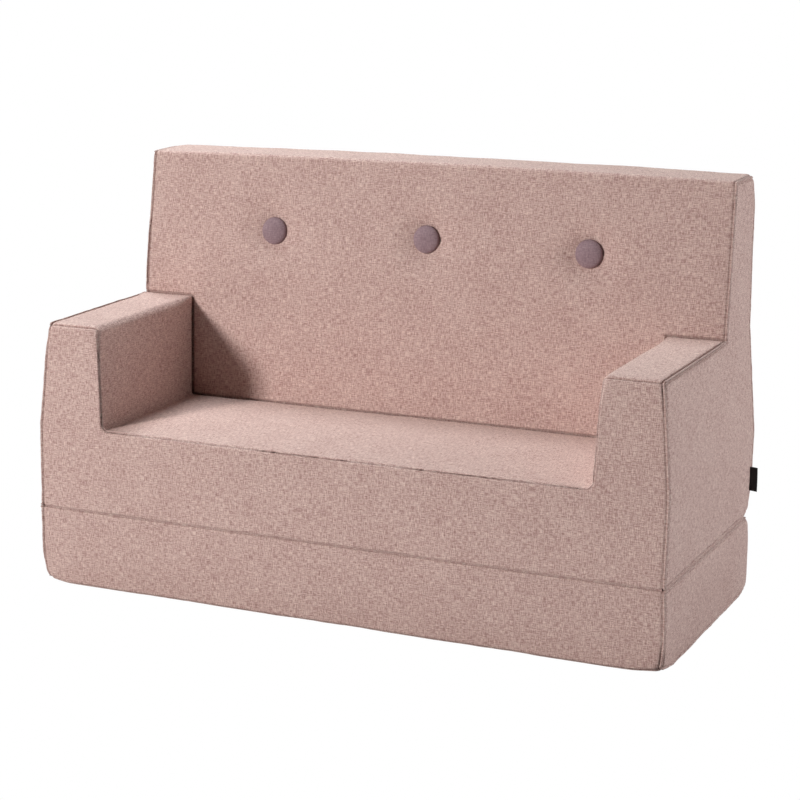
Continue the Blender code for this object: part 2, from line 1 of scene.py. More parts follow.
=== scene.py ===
"""The finished look of a child's flip-open foam sofa: covers, seams, buttons, zips, light and camera.

Units are metres, +Z is up and the front faces -Y. Each block's cover starts as the plain block, on a grid
that is fine along the seams. Its edges are rounded and its faces leaned and crowned, with dimples at the
buttons. Then seams and creases are pressed into it, and painted shade darkens their lines. Last it is split
along its seams into the panels that the real cover is sewn from.
"""

import math
from functools import partial

import bpy
import numpy as np
from mathutils import Matrix, Vector


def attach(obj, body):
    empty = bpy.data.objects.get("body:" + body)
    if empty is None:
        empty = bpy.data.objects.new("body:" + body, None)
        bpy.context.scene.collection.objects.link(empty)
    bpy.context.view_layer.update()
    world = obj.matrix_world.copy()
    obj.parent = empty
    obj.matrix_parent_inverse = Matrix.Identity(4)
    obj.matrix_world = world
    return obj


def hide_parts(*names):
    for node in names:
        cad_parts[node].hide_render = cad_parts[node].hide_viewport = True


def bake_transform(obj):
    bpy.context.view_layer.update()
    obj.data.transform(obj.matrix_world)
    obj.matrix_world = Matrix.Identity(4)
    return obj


# Block sizes, the same as the solids'
WIDTH = 0.950
DEPTH = 0.390
HEIGHT = 0.600
SLAB_HEIGHT = 0.114
FOLD_GAP = 0.001
SEAT_HEIGHT = 0.236
ARM_HEIGHT = 0.385
ARM_WIDTH = 0.105
BACK_THICKNESS = 0.127

HALF = WIDTH / 2
INNER_X = HALF - ARM_WIDTH
FRONT_Y = -DEPTH / 2
REAR_Y = DEPTH / 2
BACK_Y = REAR_Y - BACK_THICKNESS
SEAT_BOTTOM = SLAB_HEIGHT + FOLD_GAP
HINGE_Z = SLAB_HEIGHT + FOLD_GAP / 2
SEAT_ZIP_Z = 0.150
SLAB_ZIP_Z = 0.049
ZIP_WIDTH = 0.015
ZIP_TAPE_HALF = 0.4565
REAR_SEAM_Z = 0.576

# Button places, set by the photograph: up to 8 mm beside the solid buttons and up to 3 mm above or below them
BUTTON_Z = 0.491
BUTTON_SPACING = 0.245
BUTTON_SHIFT = 0.004
BUTTON_RISES = {"left": -0.0015, "middle": 0.0015, "right": -0.0030}
BUTTON_CENTERS = {
    side: (BUTTON_SHIFT + place * BUTTON_SPACING, BUTTON_Z + BUTTON_RISES[side])
    for side, place in (("left", -1), ("middle", 0), ("right", 1))
}

# Lean of the faces at their tops
ARM_OUTER_LEAN = 0.014
ARM_INNER_LEAN = 0.008
FRONT_RAKE = 0.016
BACK_LEAN = 0.057
REAR_LEAN = 0.020

# Rounding of the edges
EDGE_ROUND = 0.005
ARM_ROUND = 0.013
REAR_ROUND = 0.015
FOLD_ROUND = 0.003
CORNER_ROUND = 0.017
ROUND_FADE = 0.050
FILLET = 0.009
FILLET_SHIFT = 0.0030

# Crowns
SEAT_CROWN = 0.006
FRONT_CROWN = 0.002
BACK_CROWN = 0.006
REAR_CROWN = 0.003
SIDE_CROWN = 0.002
TOP_CROWN = 0.0035
CROWN_FADE = 0.060

# Seams, creases and dimples
GROOVE_DEPTH = 0.0019
GROOVE_WIDTH = 0.0018
SHOULDER_HEIGHT = 0.0004
SHOULDER_WIDTH = 0.0050
RIDGE_HEIGHT = 0.0014
RIDGE_HALF = 0.0034
RIDGE_LINE = 0.0042
RIDGE_LINE_WIDTH = 0.0011
CREASE_DEPTH = 0.004
CREASE_WIDTH = 0.0019
DIMPLE_DEPTH = 0.0115
DIMPLE_FLOOR = 0.016
DIMPLE_REACH = 0.080
PUCKER_HEIGHT = 0.0007
PUCKER_PLACE_SHARE = 0.36
PUCKER_WIDTH_SHARE = 0.22
FINE_FOLDS = 11
FINE_FOLDS_TURN = 40
BROAD_FOLDS = 5
BROAD_FOLDS_TURN = 90
BROAD_FOLDS_SHARE = 0.6
CLOTH = 0.0014

# Unevenness of the cloth: height, number of waves, shortest and longest wave
SWELL = (0.00028, 14, 0.06, 0.18)
RIPPLE = (0.00008, 20, 0.014, 0.03)
SEAM_RIPPLE = (0.00030, 16, 0.006, 0.015)

# Painted shade: how much the weave is darkened along the seam lines, and the shares of that for creases and
# for the hinge strip
PAINTED_SEAM_SHADE = 0.30
CREASE_SHADE_SHARE = 0.6
HINGE_SHADE_SHARE = 0.6

# Buttons, tag and hinge strip
BUTTON_RADIUS = 0.0205
BUTTON_HEIGHT = 0.0110
BUTTON_LIFT = 0.0012
BUTTON_RIM = 0.0025
BUTTON_FOOT_SHARE = 0.93
BUTTON_TIP_SHARE = 0.001
BUTTON_CURVE = 0.9
BUTTON_RINGS = 12
BUTTON_SIDES = 64
GATHERS = 16
GATHER_SHARE = 0.012
TAPE_SHARE = 0.6
TAG_TURN = 6
TAG_LEVELS = 10
TAG_CURL = 0.0008
TAG_DROP = 0.0010
HINGE_WIDTH = 0.0024
HINGE_HALF_LENGTH = 0.4700
HINGE_RECESS = 0.0012
HINGE_HOLLOW = 0.0004
HINGE_STEPS = 8

# Grid spacing: fine near each seam line and wide between. Points closer than TOUCH count as one
NEAR_SEAM = (0, 0.001, 0.002, 0.0028, 0.0034, 0.0042, 0.0055, 0.0075, 0.010, 0.013, 0.017, 0.022, 0.028)
WIDE_STEP = 0.008
PLACE_DIGITS = 6
TOUCH = 1e-6
FAR_AWAY = 1.0

# The weave: cells of noise per metre along and across a thread, and each layer's share of the tone
THREAD = 0.0011
SLUB_CELLS = (130, 1150)
STREAK_CELLS = (36, 820)
FLECK_CELLS = 1500
CLOUD_CELLS = 14
SLUB_SHARE = 0.65
FLECK_SHARE = 0.35
CLOUD_SHARE = 0.05
STREAK_SHARE = 0.12
TONE_LOW = 0.40
TONE_MIDDLE = 0.50
TONE_HIGH = 0.60
THREAD_BUMP_SHARE = 0.25
BUMP_DEPTH = 0.0006

# Zips and plain surfaces: cells of noise and ribs per metre, depths of their bumps, and layers' shares
ZIP_CELLS = 1500
ZIP_RIBS = 210
ZIP_BUMP_DEPTH = 0.0005
SCUFF_DEPTH = 0.0003
SCUFFS_PER_PATCH = 8
ZIP_RIB_SHARE = 0.6
ZIP_GRAIN_SHARE = 0.4

# Colours from 0 to 255: middle, light and dark threads of each weave, or the plain and the worn tone
PINK_TONES = ((200, 165, 157), (230, 205, 193), (158, 121, 114))
MAUVE_TONES = ((150, 124, 129), (164, 139, 143), (134, 109, 114))
BLACK_TONES = ((30, 30, 31), (46, 45, 46))
ZIP_TONES = ((150, 120, 114), (176, 146, 139))
METAL_TONES = ((150, 147, 143), (186, 184, 180))
PLASTIC_TONES = ((120, 118, 116), (150, 148, 146))
TWINE_TONES = ((214, 204, 188), (168, 154, 136))

# Lights: place, what each points at, its width, its power and its tint
KEY_LIGHT = ((-2.14, -3.71, 1.83), (0, 0, 0.3), 0.68, 166, (1, 1, 1))
TOP_LIGHT = ((-1.0, 0.55, 2.4), (-0.1, 0, 0.3), 0.9, 58, (0.82, 0.93, 0.97))
SIDE_LIGHT = ((2.8, 0.55, 0.8), (0.3, 0, 0.2), 1.4, 49, (0.92, 0.97, 1))
SKY_STRENGTH = 0.01
WHITE = (1, 1, 1, 1)
FLOOR_GRAY = (0.42, 0.42, 0.42, 1)
FLOOR_REACH = 12

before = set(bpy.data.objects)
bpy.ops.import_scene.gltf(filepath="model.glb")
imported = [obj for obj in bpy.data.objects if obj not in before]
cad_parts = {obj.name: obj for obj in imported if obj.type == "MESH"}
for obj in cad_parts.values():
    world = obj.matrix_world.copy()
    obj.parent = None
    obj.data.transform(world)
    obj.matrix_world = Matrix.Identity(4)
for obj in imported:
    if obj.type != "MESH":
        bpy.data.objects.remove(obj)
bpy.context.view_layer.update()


def share(value, low, high):
    """How far each value is on its way from low to high, from 0 to 1."""
    return np.clip((value - low) / (high - low), 0, 1)


def hump(value, low, high):
    """A curve that is 0 at low and high and 1 midway between them."""
    offset = (2 * value - low - high) / (high - low)
    return np.maximum(1 - offset * offset, 0)


def near(value, face, reach):
    """1 on the face, falling to 0 at the reach."""
    return 1 - share(np.abs(value - face), 0, reach)


def smooth(part):
    """The same share with a soft start and end."""
    return part * part * (3 - 2 * part)


def bell(value, width):
    """1 at zero, falling off within about the width."""
    return np.exp(-((value / width) ** 2))


def waves(points, kind, seed):
    """A smooth random field of the given height, the same on each run."""
    height, count, shortest, longest = kind
    source = np.random.default_rng(seed)
    field = np.zeros(len(points))
    for _ in range(count):
        direction = source.normal(size=3)
        direction /= np.linalg.norm(direction)
        length = source.uniform(shortest, longest)
        field += np.sin(points @ direction * (2 * math.pi / length) + source.uniform(0, 2 * math.pi))
    return height * field / math.sqrt(count / 2)


def graded(*lines):
    """Grid positions from the first line to the last, fine near each of them."""
    places = set()
    for low, high in zip(lines, lines[1:]):
        ends = [reach for reach in NEAR_SEAM if reach < (high - low) / 2]
        for reach in ends:
            places.add(round(low + reach, PLACE_DIGITS))
            places.add(round(high - reach, PLACE_DIGITS))
        start, stop = low + ends[-1], high - ends[-1]
        count = max(math.ceil((stop - start) / WIDE_STEP), 1)
        between = [start + (stop - start) * i / count for i in range(1, count)]
        places.update(round(place, PLACE_DIGITS) for place in between)
    return np.array(sorted(places))


def with_zip_ends(places):
    """The same places, with the nearest ones moved to the ends of the zip's opening."""
    moved = places.copy()
    for end in (-ZIP_TAPE_HALF, ZIP_TAPE_HALF):
        moved[np.argmin(np.abs(moved - end))] = end
    return moved


class Grid:
    """One flat face of a block, cut into a grid, with the edges that bound it."""

    def __init__(self, normal, level, first, second, panel, keep=None):
        self.axis = int(np.argmax(np.abs(normal)))
        free = [axis for axis in range(3) if axis != self.axis]
        a, b = np.meshgrid(first, second, indexing="ij")
        self.shape = a.shape
        self.points = np.zeros((a.size, 3))
        self.points[:, self.axis] = level
        self.points[:, free[0]] = a.ravel()
        self.points[:, free[1]] = b.ravel()
        x, self.y, self.z = self.points.T
        self.out = np.abs(x)
        self.side = np.where(x < 0, -1.0, 1.0)
        self.normal = np.array(normal, float)
        self.panel = panel
        self.keep = keep
        self.edges = []

    def edge(self, distance, toward, seam):
        """Add a convex edge: how far each point is from it, the way out over it, and its seam."""
        toward = np.broadcast_to(np.array(toward, float), self.points.shape)
        self.edges.append((distance, toward, seam))

    def quads(self):
        """Corners of each kept cell, counter-clockwise as seen from outside, and each cell's panel."""
        rows, columns = self.shape
        index = np.arange(rows * columns).reshape(self.shape)
        corners = np.stack(
            [index[:-1, :-1], index[1:, :-1], index[1:, 1:], index[:-1, 1:]], axis=-1
        ).reshape(-1, 4)
        middles = self.points[corners].mean(axis=1)
        sign = self.normal[self.axis] * (1 if self.axis != 1 else -1)
        if sign < 0:
            corners = corners[:, ::-1]
        if self.keep is not None:
            kept = self.keep(*middles.T)
            corners, middles = corners[kept], middles[kept]
        names = self.panel(*middles.T) if callable(self.panel) else [self.panel] * len(corners)
        return corners, list(names)


def away_from(first, second):
    """Distance from an L-shaped edge with a hollow corner, and the two parts of the way to it.

    first and second are how far a point is behind each of the two lines. Both may be negative.
    """
    a = np.maximum(first, 0)
    b = np.maximum(second, 0)
    distance = np.hypot(a, b)
    length = np.maximum(distance, TOUCH)
    return distance, a / length, b / length


def outward(side):
    """The way out over a left or right edge, for each point."""
    return np.stack([side, side * 0, side * 0], axis=1)


def add_grid(grids, *face):
    """Add a face to the list of a block's faces."""
    grids.append(Grid(*face))
    return grids[-1]


def edge_radius_of_seat_block(points):
    """How round the upper block's edges are near each point."""
    _, y, z = points.T
    rear = smooth(near(y, REAR_Y, ROUND_FADE))
    ends = np.maximum(smooth(near(z, SEAT_BOTTOM, ROUND_FADE)), smooth(near(z, HEIGHT, ROUND_FADE)))
    fold = smooth(near(z, SEAT_BOTTOM, ROUND_FADE / 2)) * (1 - rear)
    arm = smooth(near(z, ARM_HEIGHT, ROUND_FADE)) * smooth(share(BACK_Y - y, 0, ROUND_FADE))
    radius = EDGE_ROUND + (REAR_ROUND - EDGE_ROUND) * rear * ends
    return radius + (ARM_ROUND - EDGE_ROUND) * arm + (FOLD_ROUND - EDGE_ROUND) * fold


def edge_radius_of_slab(points):
    """How round the slab's edges are near each point."""
    x, y, z = points.T
    rear = smooth(near(y, REAR_Y, ROUND_FADE))
    fold = smooth(near(z, SLAB_HEIGHT, ROUND_FADE / 2)) * (1 - rear)
    corner = smooth(near(np.abs(x), HALF, ROUND_FADE)) * smooth(near(y, FRONT_Y, ROUND_FADE))
    corner = corner * smooth(near(z, 0, ROUND_FADE))
    radius = EDGE_ROUND + (REAR_ROUND - EDGE_ROUND) * rear
    return radius + (CORNER_ROUND - EDGE_ROUND) * corner + (FOLD_ROUND - EDGE_ROUND) * fold


def seat_block_grids():
    """The upper block's faces with their panels, rounded edges and seams."""
    xs = with_zip_ends(graded(-HALF, -INNER_X, INNER_X, HALF))
    ys = graded(FRONT_Y, BACK_Y, REAR_Y)
    zip_top = SEAT_ZIP_Z + ZIP_WIDTH
    zs = graded(SEAT_BOTTOM, SEAT_ZIP_Z, zip_top, SEAT_HEIGHT, ARM_HEIGHT, REAR_SEAM_Z, HEIGHT)
    grids = []
    add = partial(add_grid, grids)

    grid = add(
        (0, -1, 0), FRONT_Y, xs, zs, "front_panel",
        lambda x, y, z: (z < ARM_HEIGHT) & ((z < SEAT_HEIGHT) | (np.abs(x) > INNER_X)),
    )
    distance, a, b = away_from(grid.out - INNER_X, SEAT_HEIGHT - grid.z)
    grid.edge(distance, np.stack([-grid.side * a, a * 0, b], axis=1), "groove")
    grid.edge(grid.z - SEAT_BOTTOM, (0, 0, -1), "fold")
    grid.edge(HALF - grid.out, outward(grid.side), "ridge")
    grid.edge(np.where(grid.out >= INNER_X, ARM_HEIGHT - grid.z, FAR_AWAY), (0, 0, 1), "groove")

    grid = add(
        (0, 0, 1), SEAT_HEIGHT, xs[np.abs(xs) <= INNER_X + TOUCH], ys[ys <= BACK_Y + TOUCH],
        "seat_and_arm_panel",
    )
    grid.edge(grid.y - FRONT_Y, (0, -1, 0), "groove")

    arm_zs = zs[(zs >= SEAT_HEIGHT - TOUCH) & (zs <= ARM_HEIGHT + TOUCH)]
    for way in (-1, 1):
        grid = add(
            (-way, 0, 0), way * INNER_X, ys[ys <= BACK_Y + TOUCH], arm_zs, "seat_and_arm_panel"
        )
        grid.edge(grid.y - FRONT_Y, (0, -1, 0), "groove")
        grid.edge(ARM_HEIGHT - grid.z, (0, 0, 1), "fold")

        arm_xs = xs[(xs * way >= INNER_X - TOUCH)]
        grid = add(
            (0, 0, 1), ARM_HEIGHT, arm_xs, ys[ys <= BACK_Y + TOUCH], "seat_and_arm_panel"
        )
        grid.edge(grid.y - FRONT_Y, (0, -1, 0), "groove")
        grid.edge(HALF - grid.out, outward(grid.side), "ridge")
        grid.edge(grid.out - INNER_X, outward(-grid.side), "fold")

    grid = add(
        (0, -1, 0), BACK_Y, xs, zs, "back_panel",
        lambda x, y, z: (z > SEAT_HEIGHT) & ((z > ARM_HEIGHT) | (np.abs(x) < INNER_X)),
    )
    grid.edge(HEIGHT - grid.z, (0, 0, 1), "fold")
    grid.edge(np.where(grid.z >= ARM_HEIGHT - TOUCH, HALF - grid.out, FAR_AWAY), outward(grid.side), "ridge")

    grid = add(
        (0, 0, 1), HEIGHT, xs, ys[ys >= BACK_Y - TOUCH], "back_panel"
    )
    grid.edge(grid.y - BACK_Y, (0, -1, 0), "fold")
    grid.edge(REAR_Y - grid.y, (0, 1, 0), "fold")
    grid.edge(HALF - grid.out, outward(grid.side), "ridge")

    def rear_panel(x, y, z):
        name = np.where(z > REAR_SEAM_Z, "back_panel", "rear_panel")
        return np.where(z < SEAT_ZIP_Z, "underside_panel", name)

    grid = add(
        (0, 1, 0), REAR_Y, xs, zs, rear_panel,
        lambda x, y, z: (z < SEAT_ZIP_Z) | (z > zip_top) | (np.abs(x) > ZIP_TAPE_HALF),
    )
    grid.edge(HEIGHT - grid.z, (0, 0, 1), "fold")
    grid.edge(grid.z - SEAT_BOTTOM, (0, 0, -1), "fold")
    grid.edge(HALF - grid.out, outward(grid.side), "ridge")

    grid = add((0, 0, -1), SEAT_BOTTOM, xs, ys, "underside_panel")
    grid.edge(grid.y - FRONT_Y, (0, -1, 0), "fold")
    grid.edge(REAR_Y - grid.y, (0, 1, 0), "fold")
    grid.edge(HALF - grid.out, outward(grid.side), "ridge")

    for way, name in ((-1, "left_side_panel"), (1, "right_side_panel")):
        grid = add(
            (way, 0, 0), way * HALF, ys, zs, name,
            lambda x, y, z: (y > BACK_Y) | (z < ARM_HEIGHT),
        )
        distance, a, b = away_from(grid.y - BACK_Y, ARM_HEIGHT - grid.z)
        grid.edge(distance, np.stack([a * 0, -a, b], axis=1), "ridge")
        grid.edge(grid.z - SEAT_BOTTOM, (0, 0, -1), "ridge")
        grid.edge(grid.y - FRONT_Y, (0, -1, 0), "ridge")
        grid.edge(np.where(grid.y >= BACK_Y - TOUCH, HEIGHT - grid.z, FAR_AWAY), (0, 0, 1), "ridge")
        grid.edge(REAR_Y - grid.y, (0, 1, 0), "ridge")
    return grids


def slab_grids():
    """The slab's faces with their panels, rounded edges and seams."""
    xs = with_zip_ends(graded(-HALF, HALF))
    ys = graded(FRONT_Y, REAR_Y)
    zip_top = SLAB_ZIP_Z + ZIP_WIDTH
    zs = graded(0, SLAB_ZIP_Z, zip_top, SLAB_HEIGHT)
    grids = []
    add = partial(add_grid, grids)

    grid = add((0, -1, 0), FRONT_Y, xs, zs, "slab_front_panel")
    grid.edge(grid.z, (0, 0, -1), "groove")
    grid.edge(SLAB_HEIGHT - grid.z, (0, 0, 1), "fold")
    grid.edge(HALF - grid.out, outward(grid.side), "ridge")

    def rear_panel(x, y, z):
        return np.where(z < SLAB_ZIP_Z, "slab_bottom_panel", "slab_top_panel")

    grid = add(
        (0, 1, 0), REAR_Y, xs, zs, rear_panel,
        lambda x, y, z: (z < SLAB_ZIP_Z) | (z > zip_top) | (np.abs(x) > ZIP_TAPE_HALF),
    )
    grid.edge(grid.z, (0, 0, -1), "fold")
    grid.edge(SLAB_HEIGHT - grid.z, (0, 0, 1), "fold")
    grid.edge(HALF - grid.out, outward(grid.side), "ridge")

    for level, up, name in ((0, -1, "slab_bottom_panel"), (SLAB_HEIGHT, 1, "slab_top_panel")):
        grid = add((0, 0, up), level, xs, ys, name)
        grid.edge(grid.y - FRONT_Y, (0, -1, 0), "groove")
        grid.edge(REAR_Y - grid.y, (0, 1, 0), "fold")
        grid.edge(HALF - grid.out, outward(grid.side), "ridge")

    for way, name in ((-1, "slab_left_panel"), (1, "slab_right_panel")):
        grid = add((way, 0, 0), way * HALF, ys, zs, name)
        grid.edge(grid.z, (0, 0, -1), "ridge")
        grid.edge(SLAB_HEIGHT - grid.z, (0, 0, 1), "ridge")
        grid.edge(grid.y - FRONT_Y, (0, -1, 0), "ridge")
        grid.edge(REAR_Y - grid.y, (0, 1, 0), "ridge")
    return grids


def rounded(grid, radius):
    """Roll each point near a convex edge onto the edge's round."""
    lean = np.tile(grid.normal, (len(grid.points), 1))
    core = grid.points - radius[:, None] * grid.normal
    for distance, toward, _ in grid.edges:
        overlap = np.maximum(radius - distance, 0)[:, None]
        lean += toward * overlap / radius[:, None]
        core -= toward * overlap
    return core + radius[:, None] * lean / np.linalg.norm(lean, axis=1)[:, None]


def seam_profile(grid):
    """How far the seams along its edges push each point out, and how much painted shade darkens it along
    their grooves and lines.
    """
    push = np.zeros(len(grid.points))
    painted_shade_mark = np.zeros(len(grid.points))
    # The mark is painted shade: the weave is darkened in each groove, along each ridge's line and over the
    # ridge
    for distance, _, seam in grid.edges:
        distance = np.abs(distance)
        if seam == "groove":
            push -= GROOVE_DEPTH * bell(distance, GROOVE_WIDTH)
            push += SHOULDER_HEIGHT * bell(distance - SHOULDER_WIDTH, SHOULDER_WIDTH / 2)
            painted_shade_mark = np.maximum(painted_shade_mark, bell(distance, GROOVE_WIDTH))
        if seam == "ridge":
            push += RIDGE_HEIGHT * smooth(1 - share(distance, RIDGE_HALF / 2, RIDGE_HALF))
            push -= RIDGE_HEIGHT * bell(distance - RIDGE_LINE, RIDGE_LINE_WIDTH)
            painted_shade_mark = np.maximum(painted_shade_mark, bell(distance - RIDGE_LINE, RIDGE_LINE_WIDTH))
            painted_shade_mark = np.maximum(painted_shade_mark, bell(distance, RIDGE_HALF) / 2)
    return push, painted_shade_mark


def fill_seat_corners(points, flat):
    """Round the hollow corner between seat and arm, on every face that meets it."""
    out = np.abs(flat[:, 0])
    side = np.where(flat[:, 0] < 0, -1.0, 1.0)
    distance = np.hypot(out - INNER_X, flat[:, 2] - SEAT_HEIGHT)
    ahead = share(BACK_Y - flat[:, 1], 0, FILLET)
    shift = FILLET_SHIFT * (1 - share(distance, 0, FILLET)) ** 2 * smooth(ahead)
    moved = points.copy()
    moved[:, 0] -= side * shift
    moved[:, 2] += shift
    return moved


def dimples(x, z):
    """Depth of the hollows round the buttons, with the small folds that run into them."""
    depth = np.zeros(len(x))
    for center, center_z in BUTTON_CENTERS.values():
        dx, dz = x - center, z - center_z
        distance = np.hypot(dx, dz)
        fall = 1 - share(distance, DIMPLE_FLOOR, DIMPLE_REACH)
        hollow = DIMPLE_DEPTH * fall**3
        angle = np.arctan2(dz, dx)
        folds = np.cos(FINE_FOLDS * angle + center * FINE_FOLDS_TURN)
        folds += BROAD_FOLDS_SHARE * np.cos(BROAD_FOLDS * angle + center * BROAD_FOLDS_TURN)
        place = DIMPLE_REACH * PUCKER_PLACE_SHARE
        hollow += PUCKER_HEIGHT * folds * bell(distance - place, DIMPLE_REACH * PUCKER_WIDTH_SHARE)
        depth = np.maximum(depth, hollow)
    return depth


def bend_seat_block(points):
    """Lean and crown the upper block, much as in the solids."""
    x, y, z = points.T
    side = np.where(x < 0, -1.0, 1.0)
    out = np.abs(x)
    arm_share = share(z, SEAT_HEIGHT, ARM_HEIGHT)
    outer_x = HALF - ARM_OUTER_LEAN * arm_share
    inner_x = INNER_X + ARM_INNER_LEAN * arm_share
    front_y = FRONT_Y + FRONT_RAKE * share(z, SEAT_BOTTOM, ARM_HEIGHT)
    back_y = BACK_Y + BACK_LEAN * share(z, SEAT_HEIGHT, HEIGHT)
    rear_y = REAR_Y + REAR_LEAN * share(z, SEAT_BOTTOM, HEIGHT)
    arm_part = (out - INNER_X) / (HALF - INNER_X)
    moved_x = np.where(out < INNER_X, out / INNER_X * inner_x, inner_x + arm_part * (outer_x - inner_x))
    seat_part = (y - FRONT_Y) / (BACK_Y - FRONT_Y)
    back_part = (y - BACK_Y) / (REAR_Y - BACK_Y)
    moved_y = np.where(
        y < BACK_Y, front_y + seat_part * (back_y - front_y), back_y + back_part * (rear_y - back_y)
    )

    lift = SEAT_CROWN * hump(x, -INNER_X, INNER_X) * hump(y, FRONT_Y, BACK_Y)
    lift = np.where(y < BACK_Y, lift * share(z, SEAT_BOTTOM, SEAT_HEIGHT), 0)
    front = FRONT_CROWN * hump(x, -HALF, HALF) * hump(z, SEAT_BOTTOM, ARM_HEIGHT)
    back = dimples(x, z) - BACK_CROWN * hump(x, -HALF, HALF) * hump(z, SEAT_HEIGHT, HEIGHT)
    behind = np.where(y < BACK_Y, near(y, BACK_Y, CROWN_FADE), 1 - share(y, BACK_Y, REAR_Y))
    rear = REAR_CROWN * hump(x, -HALF, HALF) * hump(z, SEAT_ZIP_Z + ZIP_WIDTH, HEIGHT)
    crown_x = SIDE_CROWN * hump(z, SEAT_BOTTOM, HEIGHT)
    lift += TOP_CROWN * hump(x, -HALF, HALF) * near(z, HEIGHT, CROWN_FADE)

    moved_x = moved_x + crown_x * near(out, HALF, CROWN_FADE)
    moved_y = moved_y - front * near(y, FRONT_Y, CROWN_FADE)
    moved_y = moved_y + back * behind + rear * near(y, REAR_Y, CROWN_FADE)
    return np.stack([side * moved_x, moved_y, z + lift], axis=1)


def bend_slab(points):
    """Crown the slab, much as in the solids."""
    x, y, z = points.T
    side = np.where(x < 0, -1.0, 1.0)
    out = np.abs(x)
    crown_x = SIDE_CROWN * hump(z, 0, SLAB_HEIGHT)
    front = FRONT_CROWN * hump(x, -HALF, HALF) * hump(z, 0, SLAB_HEIGHT)
    moved_x = out + crown_x * near(out, HALF, CROWN_FADE)
    moved_y = y - front * near(y, FRONT_Y, CROWN_FADE)
    return np.stack([side * moved_x, moved_y, z], axis=1)


def crease_of_seat_block(flat):
    """Distance of each point from the tight hollow lines where seat and arms meet the back."""
    out, y, z = np.abs(flat[:, 0]), flat[:, 1], flat[:, 2]
    on_front = y < BACK_Y - TOUCH
    open_face = ((out <= INNER_X + TOUCH) & (z >= SEAT_HEIGHT - TOUCH)) | (z >= ARM_HEIGHT - TOUCH)
    before = np.where(open_face & (z <= ARM_HEIGHT + TOUCH), BACK_Y - y, FAR_AWAY)
    beside, _, _ = away_from(INNER_X - out, z - ARM_HEIGHT)
    on_back = np.where(open_face, np.minimum(beside, np.abs(z - SEAT_HEIGHT)), FAR_AWAY)
    return np.where(on_front, before, np.where(y < BACK_Y + TOUCH, on_back, FAR_AWAY))


def cushion(body, grids, radius_of, bend, seed, replaced, crease_of=None):
    """Build one block's cover from its grids, and split it into its sewn panels."""
    flats, positions, pushes, painted_shade_marks, panels, quads = [], [], [], [], [], []
    start = 0
    for grid in grids:
        moved = rounded(grid, radius_of(grid.points))
        if crease_of:
            moved = fill_seat_corners(moved, grid.points)
        push, painted_shade_mark = seam_profile(grid)
        corners, names = grid.quads()
        flats.append(grid.points)
        positions.append(bend(moved))
        pushes.append(push)
        painted_shade_marks.append(painted_shade_mark)
        quads.append(corners + start)
        panels += names
        start += len(grid.points)
    flat = np.concatenate(flats)
    position = np.concatenate(positions)
    push = np.concatenate(pushes)
    painted_shade_mark = np.concatenate(painted_shade_marks)
    quads = np.concatenate(quads)

    # Points that faces share become one point at their average
    _, first, index = np.unique(
        np.round(flat / TOUCH).astype(np.int64), axis=0, return_index=True, return_inverse=True
    )
    index = index.reshape(-1)
    used = np.zeros(len(flat), bool)
    used[quads.reshape(-1)] = True
    count = np.bincount(index, weights=used, minlength=len(first))
    count[count == 0] = 1

    def shared(values):
        weights = values * used
        return np.bincount(index, weights=weights, minlength=len(first)) / count

    flat = flat[first]
    position = np.stack([shared(position[:, axis]) for axis in range(3)], axis=1)
    push = shared(push)
    painted_shade_mark = shared(painted_shade_mark)
    quads = index[quads]

    # Seams and slight unevenness go in along the normals
    mesh = bpy.data.meshes.new(body)
    mesh.from_pydata(position.tolist(), [], quads.tolist())
    normals = np.zeros(len(position) * 3)
    mesh.vertices.foreach_get("normal", normals)
    normals = normals.reshape(-1, 3)
    bpy.data.meshes.remove(mesh)
    push += waves(position, SWELL, seed)
    push += waves(position, RIPPLE, seed + 1)
    push += painted_shade_mark * waves(position, SEAM_RIPPLE, seed + 2)
    if crease_of:
        tight = bell(crease_of(flat), CREASE_WIDTH)
        push -= CREASE_DEPTH * tight
        # Painted shade darkens the weave in the crease as well
        painted_shade_mark = np.maximum(painted_shade_mark, tight * CREASE_SHADE_SHARE)
    position = position + normals * push[:, None]
    position[:, 2] = np.maximum(position[:, 2], 0)
    return split(position, quads, panels, painted_shade_mark, body, replaced)


def split(position, quads, panels, painted_shade_mark, body, replaced):
    """Make each sewn panel a piece of its own, with the painted shade along its seams and creases stored for
    the weave.
    """
    made = []
    panels = np.array(panels)
    for panel in sorted(set(panels)):
        own = quads[panels == panel]
        used, local = np.unique(own, return_inverse=True)
        mesh = bpy.data.meshes.new(f"{panel}_cover")
        mesh.from_pydata(position[used].tolist(), [], local.reshape(-1, 4).tolist())
        # The "seam" attribute holds painted shade along the seam lines and creases
        attribute = mesh.attributes.new("seam", "FLOAT", "POINT")
        attribute.data.foreach_set("value", painted_shade_mark[used])
        mesh.shade_smooth()
        piece = bpy.data.objects.new(f"{panel}_cover", mesh)
        bpy.context.scene.collection.objects.link(piece)
        thickness = piece.modifiers.new("cloth", "SOLIDIFY")
        thickness.thickness = CLOTH
        thickness.offset = -1
        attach(piece, body)
        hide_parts(panel, *replaced.get(panel, ()))
        made.append(piece)
    return made


